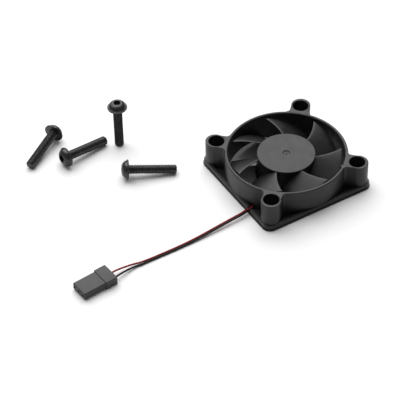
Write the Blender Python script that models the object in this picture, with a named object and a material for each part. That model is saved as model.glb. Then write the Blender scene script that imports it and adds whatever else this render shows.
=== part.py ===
"""A 40 mm axial cooling fan for an electronic speed controller, with its leads, plug and four screws.

The origin is the centre of the fan's underside. +Z is up, towards the air intake. The leads leave at -Y.
Every length is in metres.
"""

import math

import bmesh
import bpy
from mathutils import Euler, Matrix, Vector

MM = 0.001

# Frame moulding
BASE_HALF = 19.65 * MM
BASE_CORNER = 2.6 * MM
LIP_PROUD = 0.25 * MM
LIP_HEIGHT = 0.5 * MM
RIM_HEIGHT = 2.0 * MM
RIM_WALL = 1.1 * MM
FLOOR = 0.8 * MM
RING_OUTER = 19.5 * MM
RING_INNER = 18.5 * MM
RING_HEIGHT = 9.6 * MM
RING_CHAMFER = 0.25 * MM
HOLE_SPACING = 32.0 * MM
HOLE_RADIUS = 2.5 * MM
BOSS_RADIUS = 3.1 * MM
BOSS_REACH = 0.45 * MM
BOSS_HEIGHT = 9.7 * MM
BOSS_CHAMFER = 0.12 * MM
WEB_HALF_WIDTH = 3.0 * MM
WEB_TOP = 9.65 * MM
WEB_FILLET = 1.2 * MM
RING_SEGMENTS = 80
BOSS_SEGMENTS = 28

# Motor base, struts and lead channel
MOTOR_BASE_RADIUS = 9.7 * MM
MOTOR_BASE_TOP = 1.2 * MM
MOTOR_WALL_INNER = 8.85 * MM
MOTOR_WALL_TOP = 1.9 * MM
LABEL_RECESS_RADIUS = 8.1 * MM
LABEL_RECESS_DEPTH = 0.2 * MM
STRUT_ANGLES = (math.radians(54), math.radians(174))
STRUT_HALF_WIDTH = 1.0 * MM
STRUT_BOTTOM = 0.1 * MM
LEAD_STRUT_ANGLE = math.radians(-66)
LEAD_STRUT_HALF_WIDTH = 1.5 * MM
LEAD_STRUT_TOP = 1.5 * MM
CHANNEL_HALF_WIDTH = 1.05 * MM
CHANNEL_FLOOR = 0.35 * MM
CHANNEL_START = 7.2 * MM
NOTCH_X = 8.8 * MM
NOTCH_HALF_WIDTH = 0.85 * MM
NOTCH_FLOOR = 0.95 * MM

# Rotor
BLADES = 7
BLADE_PHASE = math.radians(168.6)
BLADE_SWEEP = math.radians(15)
BLADE_ROOT = 8.9 * MM
BLADE_TIP = 17.7 * MM
BLADE_ROOT_TOP = 8.5 * MM
BLADE_TIP_TOP = 8.85 * MM
BLADE_BOTTOM = 2.45 * MM
BLADE_ROOT_CHORD = math.radians(45)
BLADE_TIP_CHORD = math.radians(44)
BLADE_CAMBER = 1.2
BLADE_THICKNESS = 0.7 * MM
HUB_RADIUS = 9.3 * MM
HUB_TOP = 9.05 * MM
HUB_BOTTOM = 2.3 * MM
HUB_INNER = 8.35 * MM
HUB_PLATE = 1.0 * MM
HUB_BEVEL = 0.3 * MM
YOKE_OUTER = 8.3 * MM
YOKE_INNER = 7.75 * MM
YOKE_TOP = 8.0 * MM
YOKE_BOTTOM = 2.6 * MM
YOKE_PLATE = 0.45 * MM
MAGNET_OUTER = 7.65 * MM
MAGNET_INNER = 6.7 * MM
MAGNET_BOTTOM = 2.9 * MM
MAGNET_TOP = 7.35 * MM
SHAFT_RADIUS = 1.0 * MM
SHAFT_BOTTOM = 0.85 * MM
SHAFT_TOP = 8.55 * MM
BUSH_RADIUS = 2.0 * MM

# Bearings and their tube
TUBE_OUTER = 3.2 * MM
TUBE_INNER = 2.55 * MM
TUBE_BOTTOM = 0.3 * MM
TUBE_TOP = 7.0 * MM
BEARING_WIDTH = 2.3 * MM
BEARING_BOTTOMS = {"lower": 1.35 * MM, "upper": 4.6 * MM}
RACE_OUTER = 2.5 * MM
RACE_INNER = 1.05 * MM
RACE_WALL = 0.4 * MM
BALLS = 7
CAGE_SEGMENTS = 14
BALL_RADIUS = 0.26 * MM
FIT_GAP = 0.05 * MM

# Stator
POLES = 4
CORE_BOTTOM = 3.7 * MM
CORE_TOP = 5.9 * MM
CORE_BORE = 3.25 * MM
CORE_RING = 4.5 * MM
ARM_HALF_WIDTH = 0.9 * MM
SHOE_INNER = 5.65 * MM
SHOE_OUTER = 6.2 * MM
SHOE_HALF_ANGLE = math.radians(36)
INSULATOR_THICKNESS = 0.5 * MM
COIL_INNER_RADIUS = 4.75 * MM
COIL_OUTER_RADIUS = 5.25 * MM
COIL_WIRE_BUILD = 0.7 * MM
BOARD_BOTTOM = 1.35 * MM
BOARD_TOP = 1.95 * MM
BOARD_RADIUS = 8.6 * MM

# Leads and plug
LEAD_DIAMETER = 0.6 * MM
LEAD_OFFSET = 0.35 * MM
LEAD_STEP = 1.4 * MM
PLUG_CENTRE = (10.93 * MM, -75.55 * MM)
PLUG_TURN = math.radians(5.5)
PLUG_LENGTH = 11.9 * MM
PLUG_WIDTH = 6.8 * MM
PLUG_REAR_LENGTH = 4.1 * MM
PLUG_REAR_HEIGHT = 2.9 * MM
PLUG_FRONT_INSET = 0.25 * MM
PLUG_SIDE_INSET = 0.25 * MM
PLUG_PITCH = 2.15 * MM
CAVITY_SIDE = 1.3 * MM
SOCKET_SIDE = 0.85 * MM

# Screws
SHANK_RADIUS = 1.5 * MM
SHANK_LENGTH = 15.5 * MM
SHANK_CHAMFER = 0.4 * MM
FLANGE_RADIUS = 3.2 * MM
HEAD_HEIGHT = 2.05 * MM
HEX_FLATS = 2.2 * MM
HEX_DEPTH = 1.2 * MM
FLOOR_CLEARANCE = 0.01 * MM

# Where each lying screw's tip is, and the compass angle from its tip towards its head
LYING_SCREWS = {
    "screw_1": (-45.7 * MM, -67.9 * MM, math.radians(121.8)),
    "screw_2": (-43.6 * MM, -41.3 * MM, math.radians(278)),
    "screw_4": (-19.3 * MM, -29.0 * MM, math.radians(245.4)),
}
STANDING_SCREW = ("screw_3", -40.9 * MM, -37.7 * MM)

# The leads' route, by hand: x, y and z of the pair's middle, then of each lead where the two part
PAIR_ROUTE = (
    (8.8, -19.65, 1.35),
    (8.9, -20.8, 1.38),
    (9.3, -23.0, 1.38),
    (9.55, -26.7, 1.25),
    (9.8, -30.6, 1.05),
    (10.05, -34.4, 0.85),
    (10.3, -38.2, 0.65),
    (10.45, -41.9, 0.5),
    (10.5, -45.5, 0.4),
    (10.5, -49.0, 0.37),
    (10.45, -52.5, 0.37),
    (10.4, -56.0, 0.39),
)
RED_END = (
    (9.9, -59.3, 0.5),
    (9.65, -61.4, 0.7),
    (9.6, -63.6, 0.98),
    (9.65, -66.2, 1.28),
    (9.8, -68.6, 1.44),
    (10.1, -69.5, 1.46),
    (10.42, -70.4, 1.46),
)
BLACK_END = (
    (10.75, -59.2, 0.42),
    (10.65, -61.5, 0.55),
    (11.0, -64.3, 0.9),
    (11.55, -66.7, 1.25),
    (12.1, -68.9, 1.44),
    (12.35, -69.6, 1.46),
    (12.57, -70.25, 1.46),
)


def clear_scene():
    for obj in list(bpy.data.objects):
        bpy.data.objects.remove(obj, do_unlink=True)


def material(name, colour, roughness, metallic=0.0):
    mat = bpy.data.materials.new(name)
    mat.use_nodes = True
    shader = mat.node_tree.nodes["Principled BSDF"]
    shader.inputs["Base Color"].default_value = (*colour, 1.0)
    shader.inputs["Roughness"].default_value = roughness
    shader.inputs["Metallic"].default_value = metallic
    return mat


def empty(name, location=(0, 0, 0)):
    obj = bpy.data.objects.new(name, None)
    obj.location = location
    bpy.context.scene.collection.objects.link(obj)
    return obj


def add_object(name, bm, mat, parent=None):
    """A new object from this bmesh, with its faces turned outwards and its round faces shaded smooth."""
    bmesh.ops.recalc_face_normals(bm, faces=bm.faces)
    mesh = bpy.data.meshes.new(name)
    bm.to_mesh(mesh)
    bm.free()
    mesh.shade_smooth()
    mesh.set_sharp_from_angle(angle=math.radians(30))
    obj = bpy.data.objects.new(name, mesh)
    if mat:
        mesh.materials.append(mat)
    obj.parent = parent
    bpy.context.scene.collection.objects.link(obj)
    return obj


def helper(name, bm, parent=None):
    """A cutter or an addition that a Boolean reads. It isn't a piece of the object."""
    obj = add_object(name, bm, None, parent)
    obj.hide_render = True
    obj.display_type = "WIRE"
    return obj


def apply_boolean(obj, other, operation):
    modifier = obj.modifiers.new(f"{operation.lower()}_{other.name}", "BOOLEAN")
    modifier.operation = operation
    modifier.object = other
    modifier.solver = "EXACT"


def cut(obj, name, bm):
    apply_boolean(obj, helper(name, bm, obj.parent), "DIFFERENCE")


def unite(obj, name, bm):
    apply_boolean(obj, helper(name, bm, obj.parent), "UNION")


def prism(outline, bottom, top):
    """An upright prism on a closed outline of (x, y) points."""
    bm = bmesh.new()
    face = bm.faces.new([bm.verts.new((x, y, bottom)) for x, y in outline])
    lifted = bmesh.ops.extrude_face_region(bm, geom=[face])["geom"]
    points = [item for item in lifted if isinstance(item, bmesh.types.BMVert)]
    bmesh.ops.translate(bm, verts=points, vec=(0, 0, top - bottom))
    return bm


def box(low, high):
    outline = ((low[0], low[1]), (high[0], low[1]), (high[0], high[1]), (low[0], high[1]))
    return prism(outline, low[2], high[2])


def turned(profile, segments):
    """A closed profile of (radius, height) points, turned about Z. A point on the axis is one vertex."""
    bm = bmesh.new()
    rings = []
    for radius, height in profile:
        if radius == 0:
            rings.append([bm.verts.new((0, 0, height))] * segments)
            continue
        angles = [2 * math.pi * step / segments for step in range(segments)]
        rings.append([bm.verts.new((radius * math.cos(a), radius * math.sin(a), height)) for a in angles])
    for index, ring in enumerate(rings):
        following = rings[(index + 1) % len(rings)]
        for step in range(segments):
            after = (step + 1) % segments
            corners = [ring[step], ring[after], following[after], following[step]]
            unique = list(dict.fromkeys(corners))
            if len(unique) > 2:
                bm.faces.new(unique)
    return bm


def cylinder(radius, bottom, top, segments=48):
    return turned(((0, bottom), (radius, bottom), (radius, top), (0, top)), segments)


def tube(inner, outer, bottom, top, segments=48):
    return turned(((inner, bottom), (outer, bottom), (outer, top), (inner, top)), segments)


def moved(bm, location=(0, 0, 0), angle=0.0):
    """The bmesh turned about Z and then moved."""
    matrix = Matrix.Translation(location) @ Matrix.Rotation(angle, 4, "Z")
    bmesh.ops.transform(bm, matrix=matrix, verts=bm.verts)
    return bm


def arc(centre, radius, start, end, steps):
    return [
        (
            centre[0] + radius * math.cos(start + (end - start) * step / steps),
            centre[1] + radius * math.sin(start + (end - start) * step / steps),
        )
        for step in range(steps + 1)
    ]


def rounded_square(half, corner, steps=8):
    inset = half - corner
    outline = []
    for quarter, (sign_x, sign_y) in enumerate(((1, 1), (-1, 1), (-1, -1), (1, -1))):
        start = quarter * math.pi / 2
        outline += arc((sign_x * inset, sign_y * inset), corner, start, start + math.pi / 2, steps)
    return outline


def stacked(levels):
    """A solid through (outline, height) levels, lowest first. All outlines have as many points."""
    bm = bmesh.new()
    loops = [[bm.verts.new((x, y, height)) for x, y in outline] for outline, height in levels]
    for lower, upper in zip(loops, loops[1:]):
        for step in range(len(lower)):
            after = (step + 1) % len(lower)
            bm.faces.new((lower[step], lower[after], upper[after], upper[step]))
    bm.faces.new(loops[0])
    bm.faces.new(loops[-1])
    return bm


def boss_places():
    half = HOLE_SPACING / 2
    return [(half, half), (-half, half), (-half, -half), (half, -half)]


def web_outline():
    """The web between a boss and the ring, along +X: straight sides, then a fillet into the ring."""
    boss_distance = HOLE_SPACING / math.sqrt(2)
    fillet_y = WEB_HALF_WIDTH + WEB_FILLET
    fillet_x = math.sqrt((RING_OUTER + WEB_FILLET) ** 2 - fillet_y**2)
    towards_ring = math.atan2(-fillet_y, -fillet_x)
    inside_ring = 0.5 * (RING_INNER + RING_OUTER)
    upper = arc((fillet_x, fillet_y), WEB_FILLET, -math.pi / 2, towards_ring, 5)
    upper.append((inside_ring, upper[-1][1]))
    outline = [(boss_distance, WEB_HALF_WIDTH)] + upper
    return outline + [(x, -y) for x, y in reversed(outline)]


def fan_frame(mat, parent):
    plate = rounded_square(BASE_HALF, BASE_CORNER)
    lip = rounded_square(BASE_HALF + LIP_PROUD, BASE_CORNER + LIP_PROUD)
    base = stacked(((lip, 0), (lip, LIP_HEIGHT), (plate, LIP_HEIGHT), (plate, RIM_HEIGHT)))
    frame = add_object("fan_frame", base, mat, parent)
    pocket = rounded_square(BASE_HALF - RIM_WALL, BASE_CORNER - RIM_WALL)
    cut(frame, "pocket_space", prism(pocket, FLOOR, RIM_HEIGHT + MM))
    ring = (
        (0, 0.3 * FLOOR),
        (RING_OUTER, 0.3 * FLOOR),
        (RING_OUTER, RING_HEIGHT - RING_CHAMFER),
        (RING_OUTER - RING_CHAMFER, RING_HEIGHT),
        (0, RING_HEIGHT),
    )
    unite(frame, "duct_ring", turned(ring, RING_SEGMENTS))
    for index, (x, y) in enumerate(boss_places(), 1):
        boss = (
            (0, 0.5 * FLOOR),
            (BOSS_RADIUS, 0.5 * FLOOR),
            (BOSS_RADIUS, BOSS_HEIGHT - BOSS_CHAMFER),
            (BOSS_RADIUS - BOSS_CHAMFER, BOSS_HEIGHT),
            (0, BOSS_HEIGHT),
        )
        reach = 1 + BOSS_REACH / math.hypot(x, y)
        unite(frame, f"boss_{index}", moved(turned(boss, BOSS_SEGMENTS), (x * reach, y * reach, 0)))
        web = prism(web_outline(), 0.7 * FLOOR, WEB_TOP)
        unite(frame, f"web_{index}", moved(web, angle=math.atan2(y, x)))
        hole = cylinder(HOLE_RADIUS, -MM, BOSS_HEIGHT + MM, BOSS_SEGMENTS)
        cut(frame, f"boss_hole_{index}", moved(hole, (x, y, 0)))
    cut(frame, "duct_space", cylinder(RING_INNER, -MM, BOSS_HEIGHT + MM, RING_SEGMENTS))
    add_motor_base(frame)
    return frame


def add_motor_base(frame):
    """The motor's seat, the struts that carry it, and the channel and notch that the leads leave by."""
    seat = (
        (TUBE_OUTER + FIT_GAP, LABEL_RECESS_DEPTH),
        (LABEL_RECESS_RADIUS, LABEL_RECESS_DEPTH),
        (LABEL_RECESS_RADIUS, 0),
        (MOTOR_BASE_RADIUS, 0),
        (MOTOR_BASE_RADIUS, MOTOR_WALL_TOP),
        (MOTOR_WALL_INNER, MOTOR_WALL_TOP),
        (MOTOR_WALL_INNER, MOTOR_BASE_TOP),
        (TUBE_OUTER + FIT_GAP, MOTOR_BASE_TOP),
    )
    unite(frame, "motor_seat", turned(seat, 48))
    start = 0.5 * (MOTOR_WALL_INNER + MOTOR_BASE_RADIUS)
    end = 0.5 * (RING_INNER + RING_OUTER)
    for index, angle in enumerate(STRUT_ANGLES, 1):
        strut = box((start, -STRUT_HALF_WIDTH, STRUT_BOTTOM), (end, STRUT_HALF_WIDTH, MOTOR_BASE_TOP))
        unite(frame, f"strut_{index}", moved(strut, angle=angle))
    strut = box((start, -LEAD_STRUT_HALF_WIDTH, STRUT_BOTTOM), (end, LEAD_STRUT_HALF_WIDTH, LEAD_STRUT_TOP))
    unite(frame, "lead_strut", moved(strut, angle=LEAD_STRUT_ANGLE))
    channel_end = (RING_OUTER + 0.2 * MM, CHANNEL_HALF_WIDTH, RIM_HEIGHT + 0.1 * MM)
    channel = box((CHANNEL_START, -CHANNEL_HALF_WIDTH, CHANNEL_FLOOR), channel_end)
    cut(frame, "lead_channel", moved(channel, angle=LEAD_STRUT_ANGLE))
    notch_low = (NOTCH_X - NOTCH_HALF_WIDTH, -BASE_HALF - MM, NOTCH_FLOOR)
    notch_high = (NOTCH_X + NOTCH_HALF_WIDTH, -BASE_HALF + RIM_WALL + MM / 2, RIM_HEIGHT + MM)
    cut(frame, "rim_notch", box(notch_low, notch_high))


def blade():
    """One blade. Its leading edge is on top and swept forward, and it drops ever more steeply behind."""
    across = 9
    along = 7
    bm = bmesh.new()
    sides = []
    for side in (1, -1):
        grid = []
        for row in range(along):
            span = row / (along - 1)
            radius = BLADE_ROOT + (BLADE_TIP - BLADE_ROOT) * span
            lead = BLADE_PHASE - BLADE_SWEEP * (1 - span)
            chord = BLADE_ROOT_CHORD + (BLADE_TIP_CHORD - BLADE_ROOT_CHORD) * span
            top = BLADE_ROOT_TOP + (BLADE_TIP_TOP - BLADE_ROOT_TOP) * span
            points = []
            for column in range(across):
                back = column / (across - 1)
                edge_taper = 0.3 + 0.7 * math.sin(math.pi * min(1.0, back + 0.12)) ** 0.5
                height = top - (top - BLADE_BOTTOM) * back**BLADE_CAMBER
                height += side * 0.5 * BLADE_THICKNESS * edge_taper
                angle = lead - chord * back
                points.append(bm.verts.new((radius * math.cos(angle), radius * math.sin(angle), height)))
            grid.append(points)
        sides.append(grid)
    upper, lower = sides
    for grid in sides:
        for row, next_row in zip(grid, grid[1:]):
            for column in range(across - 1):
                bm.faces.new((row[column], row[column + 1], next_row[column + 1], next_row[column]))
    outline = [(0, column) for column in range(across)]
    outline += [(row, across - 1) for row in range(1, along)]
    outline += [(along - 1, column) for column in range(across - 2, -1, -1)]
    outline += [(row, 0) for row in range(along - 2, 0, -1)]
    over = [upper[row][column] for row, column in outline]
    under = [lower[row][column] for row, column in outline]
    for index in range(len(outline)):
        after = (index + 1) % len(outline)
        bm.faces.new((over[index], over[after], under[after], under[index]))
    return bm


def impeller(mat, parent):
    hub = (
        (0, SHAFT_TOP + FIT_GAP),
        (SHAFT_RADIUS + FIT_GAP, SHAFT_TOP + FIT_GAP),
        (SHAFT_RADIUS + FIT_GAP, HUB_TOP - HUB_PLATE),
        (HUB_INNER, HUB_TOP - HUB_PLATE),
        (HUB_INNER, HUB_BOTTOM),
        (HUB_RADIUS, HUB_BOTTOM),
        (HUB_RADIUS, HUB_TOP - HUB_BEVEL),
        (HUB_RADIUS - HUB_BEVEL, HUB_TOP),
        (0, HUB_TOP),
    )
    obj = add_object("impeller", turned(hub, 60), mat, parent)
    for index in range(BLADES):
        unite(obj, f"blade_{index + 1}", moved(blade(), angle=2 * math.pi * index / BLADES))


def rotor_pieces(mats, parent):
    yoke = (
        (BUSH_RADIUS + FIT_GAP, YOKE_TOP - YOKE_PLATE),
        (YOKE_INNER, YOKE_TOP - YOKE_PLATE),
        (YOKE_INNER, YOKE_BOTTOM),
        (YOKE_OUTER, YOKE_BOTTOM),
        (YOKE_OUTER, YOKE_TOP),
        (BUSH_RADIUS + FIT_GAP, YOKE_TOP),
    )
    add_object("rotor_yoke", turned(yoke, 36), mats["steel"], parent)
    magnet = tube(MAGNET_INNER, MAGNET_OUTER, MAGNET_BOTTOM, MAGNET_TOP, 32)
    add_object("rotor_magnet", magnet, mats["ferrite"], parent)
    groove_bottom = SHAFT_BOTTOM + 0.1 * MM
    groove_top = groove_bottom + 0.25 * MM
    groove_radius = SHAFT_RADIUS - 0.2 * MM
    shaft = (
        (0, SHAFT_BOTTOM),
        (SHAFT_RADIUS - 0.1 * MM, SHAFT_BOTTOM),
        (SHAFT_RADIUS, groove_bottom),
        (groove_radius, groove_bottom),
        (groove_radius, groove_top),
        (SHAFT_RADIUS, groove_top),
        (SHAFT_RADIUS, SHAFT_TOP),
        (0, SHAFT_TOP),
    )
    add_object("shaft", turned(shaft, 20), mats["steel"], parent)
    bush = tube(SHAFT_RADIUS + FIT_GAP, BUSH_RADIUS, YOKE_TOP - YOKE_PLATE, YOKE_TOP, 24)
    add_object("shaft_bush", bush, mats["brass"], parent)
    clip_inner = groove_radius + FIT_GAP
    retaining_clip(mats["steel"], parent, clip_inner, groove_bottom + FIT_GAP, groove_top - FIT_GAP)
    preload_spring(mats["steel"], parent)


def retaining_clip(mat, parent, inner, bottom, top):
    """An open ring that snaps into the groove at the shaft's lower end."""
    outer = 1.7 * MM
    gap = math.radians(35)
    outline = arc((0, 0), outer, gap, 2 * math.pi - gap, 24)
    outline += arc((0, 0), inner, 2 * math.pi - gap, gap, 24)
    add_object("retaining_clip", prism(outline, bottom, top), mat, parent)


def preload_spring(mat, parent):
    """A short coil spring between the upper bearing's inner race and the rotor."""
    wire = 0.16 * MM
    radius = SHAFT_RADIUS + 0.1 * MM + wire
    bottom = BEARING_BOTTOMS["upper"] + BEARING_WIDTH + FIT_GAP + wire / 2
    top = YOKE_TOP - YOKE_PLATE - FIT_GAP - wire / 2
    turns = 2
    steps = 24
    points = []
    for step in range(steps + 1):
        part = step / steps
        angle = 2 * math.pi * turns * part
        points.append((radius * math.cos(angle), radius * math.sin(angle), bottom + (top - bottom) * part))
    wire_object("preload_spring", points, wire, mat, parent)


def wire_object(name, points, diameter, mat, parent):
    curve = bpy.data.curves.new(name, "CURVE")
    curve.dimensions = "3D"
    curve.bevel_depth = diameter / 2
    curve.bevel_resolution = 2
    curve.use_fill_caps = True
    spline = curve.splines.new("POLY")
    spline.points.add(len(points) - 1)
    for target, point in zip(spline.points, points):
        target.co = (*point, 1.0)
    curve.materials.append(mat)
    obj = bpy.data.objects.new(name, curve)
    obj.parent = parent
    bpy.context.scene.collection.objects.link(obj)
    return obj


def bearings(mats, frame, rotor):
    middle = 0.5 * (RACE_INNER + RACE_OUTER)
    for place, bottom in BEARING_BOTTOMS.items():
        top = bottom + BEARING_WIDTH
        outer_race = tube(RACE_OUTER - RACE_WALL, RACE_OUTER, bottom, top, 24)
        add_object(f"{place}_bearing_outer_race", outer_race, mats["steel"], frame)
        inner_race = tube(RACE_INNER, RACE_INNER + RACE_WALL, bottom, top, 24)
        add_object(f"{place}_bearing_inner_race", inner_race, mats["steel"], rotor)
        centre_height = 0.5 * (bottom + top)
        half_wall = 0.4 * BALL_RADIUS
        cage_bottom = centre_height - BALL_RADIUS / 2
        cage_top = centre_height + BALL_RADIUS / 2
        cage = tube(middle - half_wall, middle + half_wall, cage_bottom, cage_top, CAGE_SEGMENTS)
        cage_object = add_object(f"{place}_bearing_balls", cage, mats["steel"], frame)
        balls = bmesh.new()
        for index in range(BALLS):
            angle = 2 * math.pi * (index + 0.1) / BALLS
            centre = Vector((middle * math.cos(angle), middle * math.sin(angle), centre_height))
            at = Matrix.Translation(centre)
            bmesh.ops.create_icosphere(balls, subdivisions=1, radius=BALL_RADIUS, matrix=at)
        unite(cage_object, f"{place}_balls", balls)
    shoulder_bottom = BEARING_BOTTOMS["lower"] + BEARING_WIDTH + 0.1 * MM
    shoulder_top = BEARING_BOTTOMS["upper"] - 0.1 * MM
    shoulder_inner = RACE_OUTER - RACE_WALL
    profile = (
        (TUBE_INNER, TUBE_BOTTOM),
        (TUBE_OUTER, TUBE_BOTTOM),
        (TUBE_OUTER, TUBE_TOP),
        (TUBE_INNER, TUBE_TOP),
        (TUBE_INNER, shoulder_top),
        (shoulder_inner, shoulder_top),
        (shoulder_inner, shoulder_bottom),
        (TUBE_INNER, shoulder_bottom),
    )
    add_object("bearing_tube", turned(profile, 28), mats["brass"], frame)
    cap_top = SHAFT_BOTTOM - 0.1 * MM
    cap = cylinder(TUBE_INNER - FIT_GAP, TUBE_BOTTOM, cap_top, 24)
    add_object("bearing_cap", cap, mats["rubber"], frame)
    label_top = LABEL_RECESS_DEPTH - FIT_GAP
    label = cylinder(LABEL_RECESS_RADIUS - FIT_GAP, 0, label_top, 40)
    add_object("base_label", label, mats["label"], frame)


def star_outline(arm_end, shoe=None):
    """The stator's outline: a ring with one arm for each pole, and a shoe on each arm if asked for."""
    outline = []
    base_angle = math.asin(ARM_HALF_WIDTH / CORE_RING)
    for pole in range(POLES):
        turn = 2 * math.pi * pole / POLES
        half = [(math.sqrt(CORE_RING**2 - ARM_HALF_WIDTH**2), -ARM_HALF_WIDTH)]
        if shoe:
            inner, outer, angle = shoe
            reach = math.sqrt(inner**2 - ARM_HALF_WIDTH**2)
            half.append((reach, -ARM_HALF_WIDTH))
            half += arc((0, 0), inner, -math.asin(ARM_HALF_WIDTH / inner), -angle, 4)[1:]
            half += arc((0, 0), outer, -angle, angle, 12)
            half += arc((0, 0), inner, angle, math.asin(ARM_HALF_WIDTH / inner), 4)
        else:
            half += [(arm_end, -ARM_HALF_WIDTH), (arm_end, ARM_HALF_WIDTH)]
        half.append((math.sqrt(CORE_RING**2 - ARM_HALF_WIDTH**2), ARM_HALF_WIDTH))
        half += arc((0, 0), CORE_RING, base_angle, 2 * math.pi / POLES - base_angle, 6)[1:-1]
        cosine = math.cos(turn)
        sine = math.sin(turn)
        outline += [(x * cosine - y * sine, x * sine + y * cosine) for x, y in half]
    return outline


def stator(mats, parent):
    bore = cylinder(CORE_BORE, 0, 10 * MM, 28)
    bore_object = helper("stator_bore", bore)
    core = prism(star_outline(SHOE_INNER, (SHOE_INNER, SHOE_OUTER, SHOE_HALF_ANGLE)), CORE_BOTTOM, CORE_TOP)
    apply_boolean(add_object("stator_core", core, mats["lamination"], parent), bore_object, "DIFFERENCE")
    lower_top = CORE_BOTTOM - 0.1 * MM
    upper_bottom = CORE_TOP + 0.1 * MM
    layers = {
        "lower_insulator": (lower_top - INSULATOR_THICKNESS, lower_top),
        "upper_insulator": (upper_bottom, upper_bottom + INSULATOR_THICKNESS),
    }
    for name, (bottom, top) in layers.items():
        layer = prism(star_outline(SHOE_INNER - 0.1 * MM), bottom, top)
        apply_boolean(add_object(name, layer, mats["insulator"], parent), bore_object, "DIFFERENCE")
    for pole in range(POLES):
        coil = winding()
        moved(coil, angle=2 * math.pi * pole / POLES)
        add_object(f"coil_{pole + 1}", coil, mats["copper"], parent)


def winding():
    """One coil, wound round an arm that points along +X."""
    middle = 0.5 * (CORE_BOTTOM + CORE_TOP)
    inner_y = ARM_HALF_WIDTH + 0.1 * MM
    inner_z = 0.5 * (CORE_TOP - CORE_BOTTOM) + INSULATOR_THICKNESS + 0.2 * MM
    corner = 0.5 * MM
    bm = bmesh.new()
    loops = []
    outer_y = inner_y + COIL_WIRE_BUILD
    outer_z = inner_z + 0.8 * COIL_WIRE_BUILD
    outer = rounded_rectangle(outer_y, outer_z, corner + COIL_WIRE_BUILD / 2)
    inner = rounded_rectangle(inner_y, inner_z, corner / 4)
    for x, outline in (
        (COIL_INNER_RADIUS, inner),
        (COIL_INNER_RADIUS, outer),
        (COIL_OUTER_RADIUS, outer),
        (COIL_OUTER_RADIUS, inner),
    ):
        loops.append([bm.verts.new((x, y, middle + z)) for y, z in outline])
    for index, loop in enumerate(loops):
        following = loops[(index + 1) % len(loops)]
        for step, corner_point in enumerate(loop):
            after = (step + 1) % len(loop)
            bm.faces.new((corner_point, loop[after], following[after], following[step]))
    return bm


def rounded_rectangle(half_x, half_y, corner, steps=3):
    outline = []
    for quarter, (sign_x, sign_y) in enumerate(((1, 1), (-1, 1), (-1, -1), (1, -1))):
        start = quarter * math.pi / 2
        centre = (sign_x * (half_x - corner), sign_y * (half_y - corner))
        outline += arc(centre, corner, start, start + math.pi / 2, steps)
    return outline


def circuit_board(mats, parent):
    board = tube(TUBE_OUTER + 2 * FIT_GAP, BOARD_RADIUS, BOARD_BOTTOM, BOARD_TOP, 36)
    board_object = add_object("circuit_board", board, mats["board"], parent)
    slot_end = (BOARD_RADIUS + MM, CHANNEL_HALF_WIDTH, BOARD_TOP + MM)
    slot = box((CHANNEL_START, -CHANNEL_HALF_WIDTH, 0), slot_end)
    cut(board_object, "board_slot", moved(slot, angle=LEAD_STRUT_ANGLE))
    seat = BOARD_TOP + FIT_GAP
    chips = {
        "driver_chip": (45, 5.6, 2.9, 1.6, 0.8),
        "capacitor": (135, 5.6, 1.6, 0.8, 0.7),
        "resistor": (225, 5.6, 1.2, 0.6, 0.4),
    }
    for name, (degrees, distance, length, width, height) in chips.items():
        low = ((distance - width / 2) * MM, -length / 2 * MM, seat)
        high = ((distance + width / 2) * MM, length / 2 * MM, seat + height * MM)
        add_object(name, moved(box(low, high), angle=math.radians(degrees)), mats["chip"], parent)
    drop_profile = ((0, 0), (0.4 * MM, 0), (0.36 * MM, 0.12 * MM), (0.2 * MM, 0.25 * MM), (0, 0.3 * MM))
    for colour, side in (("red", -1), ("black", 1)):
        drop = turned(drop_profile, 16)
        bend = Matrix.Rotation(LEAD_STRUT_ANGLE, 4, "Z") @ Vector((6.7 * MM, side * 0.6 * MM, seat))
        add_object(f"{colour}_solder_joint", moved(drop, bend), mats["solder"], parent)


def smooth_route(points, step):
    """Points about one step apart on a smooth curve through the given points, in order."""
    nodes = [Vector(point) for point in points]
    nodes = [2 * nodes[0] - nodes[1]] + nodes + [2 * nodes[-1] - nodes[-2]]
    route = []
    for index in range(1, len(nodes) - 2):
        before, start, end, after = nodes[index - 1 : index + 3]
        count = max(1, round((end - start).length / step))
        for part in range(count):
            t = part / count
            curve = (
                2 * start
                + (end - before) * t
                + (2 * before - 5 * start + 4 * end - after) * t**2
                + (3 * start - before - 3 * end + after) * t**3
            )
            route.append(0.5 * curve)
    route.append(nodes[-2])
    return route


def lead_route(side, ending):
    """One lead's route points in metres. side is -1 for the red lead and 1 for the black one."""
    pair = [(x * MM + side * LEAD_OFFSET, y * MM, z * MM) for x, y, z in PAIR_ROUTE]
    return pair + [(x * MM, y * MM, z * MM) for x, y, z in ending]


def lead_tail_route(side):
    """The lead inside the fan: along its strut's channel and up to the notch in the rim."""
    outward = Vector((math.cos(LEAD_STRUT_ANGLE), math.sin(LEAD_STRUT_ANGLE), 0))
    across = Vector((-outward.y, outward.x, 0))
    height = CHANNEL_FLOOR + LEAD_DIAMETER / 2 + FIT_GAP
    points = []
    for distance in (7.6, 10.0, 12.5, 15.0, 17.4):
        points.append(outward * distance * MM + across * side * LEAD_OFFSET + Vector((0, 0, height)))
    points.append(Vector((NOTCH_X - 0.2 * MM + side * LEAD_OFFSET, -18.3 * MM, 1.35 * MM)))
    points.append(Vector((NOTCH_X + side * LEAD_OFFSET, -19.35 * MM, 1.35 * MM)))
    return points


def leads(mats, parent):
    for colour, side, ending in (("red", -1, RED_END), ("black", 1, BLACK_END)):
        mat = mats[f"{colour}_insulation"]
        tail = smooth_route(lead_tail_route(side), LEAD_STEP)
        wire_object(f"{colour}_lead_tail", tail, LEAD_DIAMETER, mat, parent)
        route = smooth_route(lead_route(side, ending), LEAD_STEP)
        wire_object(f"{colour}_wire", route, LEAD_DIAMETER, mat, parent)


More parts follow.
